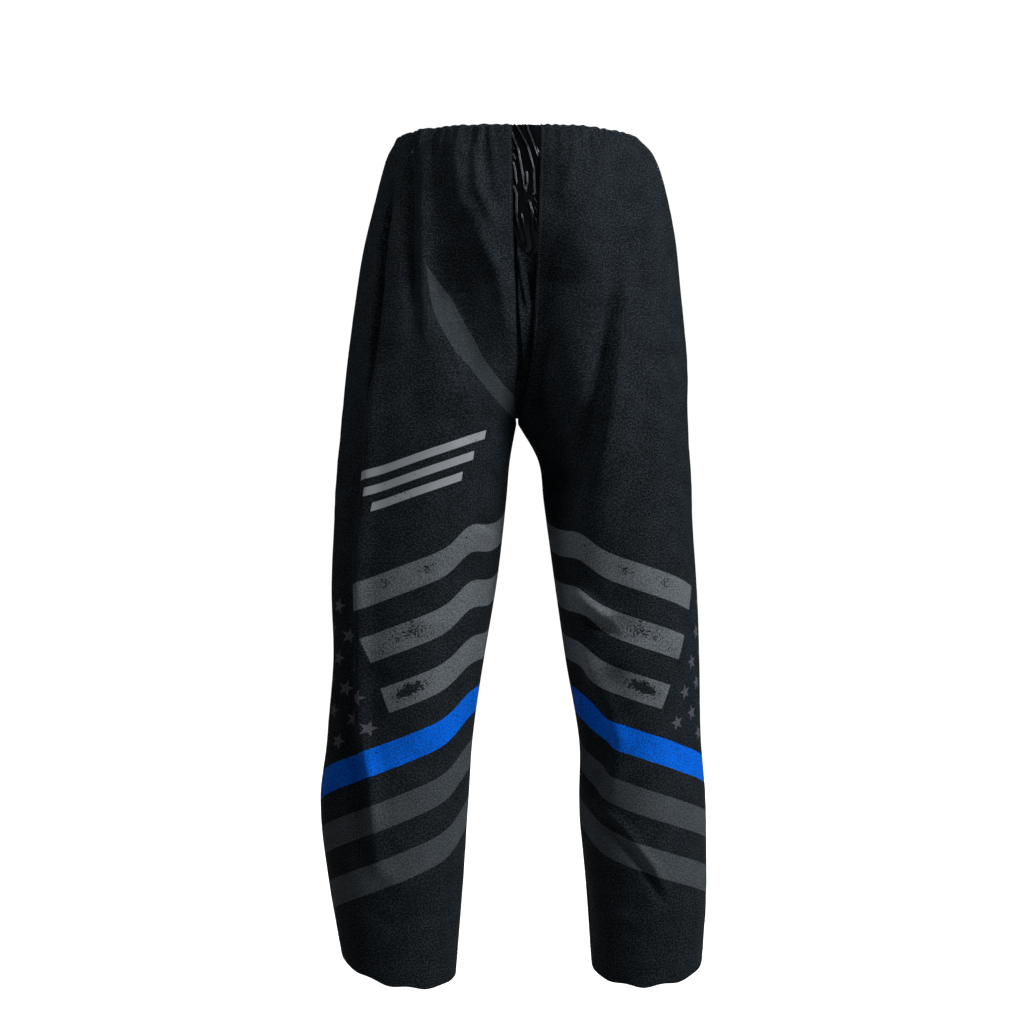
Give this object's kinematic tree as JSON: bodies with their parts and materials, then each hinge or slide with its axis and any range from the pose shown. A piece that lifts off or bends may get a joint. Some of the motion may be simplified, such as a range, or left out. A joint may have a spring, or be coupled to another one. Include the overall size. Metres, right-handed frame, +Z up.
{
  "type": "hockey pants",
  "caption": "Full-length knitted hockey trousers on an unseen wearer, with an elastic waist, a satin front gusset, printed slanted stripes on the legs and turned hems.",
  "frame": {"origin": "centre of the waist opening, in the plane of the waist edge", "axes": "+Z up towards the wearer's head, -Y the wearer's front, +X the wearer's left"},
  "size_m": [0.4629, 0.229, 1.0061],
  "materials": {
    "knit": "matte printed polyester knit",
    "gusset_knit": "matte smooth knit",
    "satin": "shiny satin",
    "elastic": "matte woven elastic",
    "thread": "spun thread",
    "label": "blank woven label"
  },
  "bodies": {
    "seat": {"right_front_seat": "knit", "right_front_hip": "knit", "right_back_seat": "knit", "right_back_hip": "knit", "left_front_seat": "knit", "left_front_hip": "knit", "left_back_seat": "knit", "left_back_hip": "knit", "front_gusset": "satin", "lower_gusset": "gusset_knit", "waist_elastic": "elastic", "waist_stitching": "thread", "centre_back_seam_tape": "gusset_knit", "size_label": "label", "right_gusset_stitching": "thread", "left_gusset_stitching": "thread"},
    "right_thigh": {"right_front_thigh": "knit", "right_front_knee": "knit", "right_back_thigh": "knit", "right_back_knee": "knit"},
    "right_shin": {"right_front_shin": "knit", "right_back_shin": "knit", "right_hem_stitching": "thread"},
    "left_thigh": {"left_front_thigh": "knit", "left_front_knee": "knit", "left_back_thigh": "knit", "left_back_knee": "knit"},
    "left_shin": {"left_front_shin": "knit", "left_back_shin": "knit", "left_hem_stitching": "thread"}
  },
  "joints": [
    {"name": "right_hip", "type": "hinge", "parent": "seat", "child": "right_thigh", "pos_m": [-0.12, 0, -0.295], "axis": [-1, 0, 0], "range_deg": [-15, 60], "deforming": ["right_front_hip", "right_back_hip"]},
    {"name": "right_knee", "type": "hinge", "parent": "right_thigh", "child": "right_shin", "pos_m": [-0.135, 0, -0.613], "axis": [1, 0, 0], "range_deg": [0, 90], "deforming": ["right_front_knee", "right_back_knee"]},
    {"name": "left_hip", "type": "hinge", "parent": "seat", "child": "left_thigh", "pos_m": [0.12, 0, -0.295], "axis": [-1, 0, 0], "range_deg": [-15, 60], "deforming": ["left_front_hip", "left_back_hip"]},
    {"name": "left_knee", "type": "hinge", "parent": "left_thigh", "child": "left_shin", "pos_m": [0.135, 0, -0.613], "axis": [1, 0, 0], "range_deg": [0, 90], "deforming": ["left_front_knee", "left_back_knee"]}
  ]
}
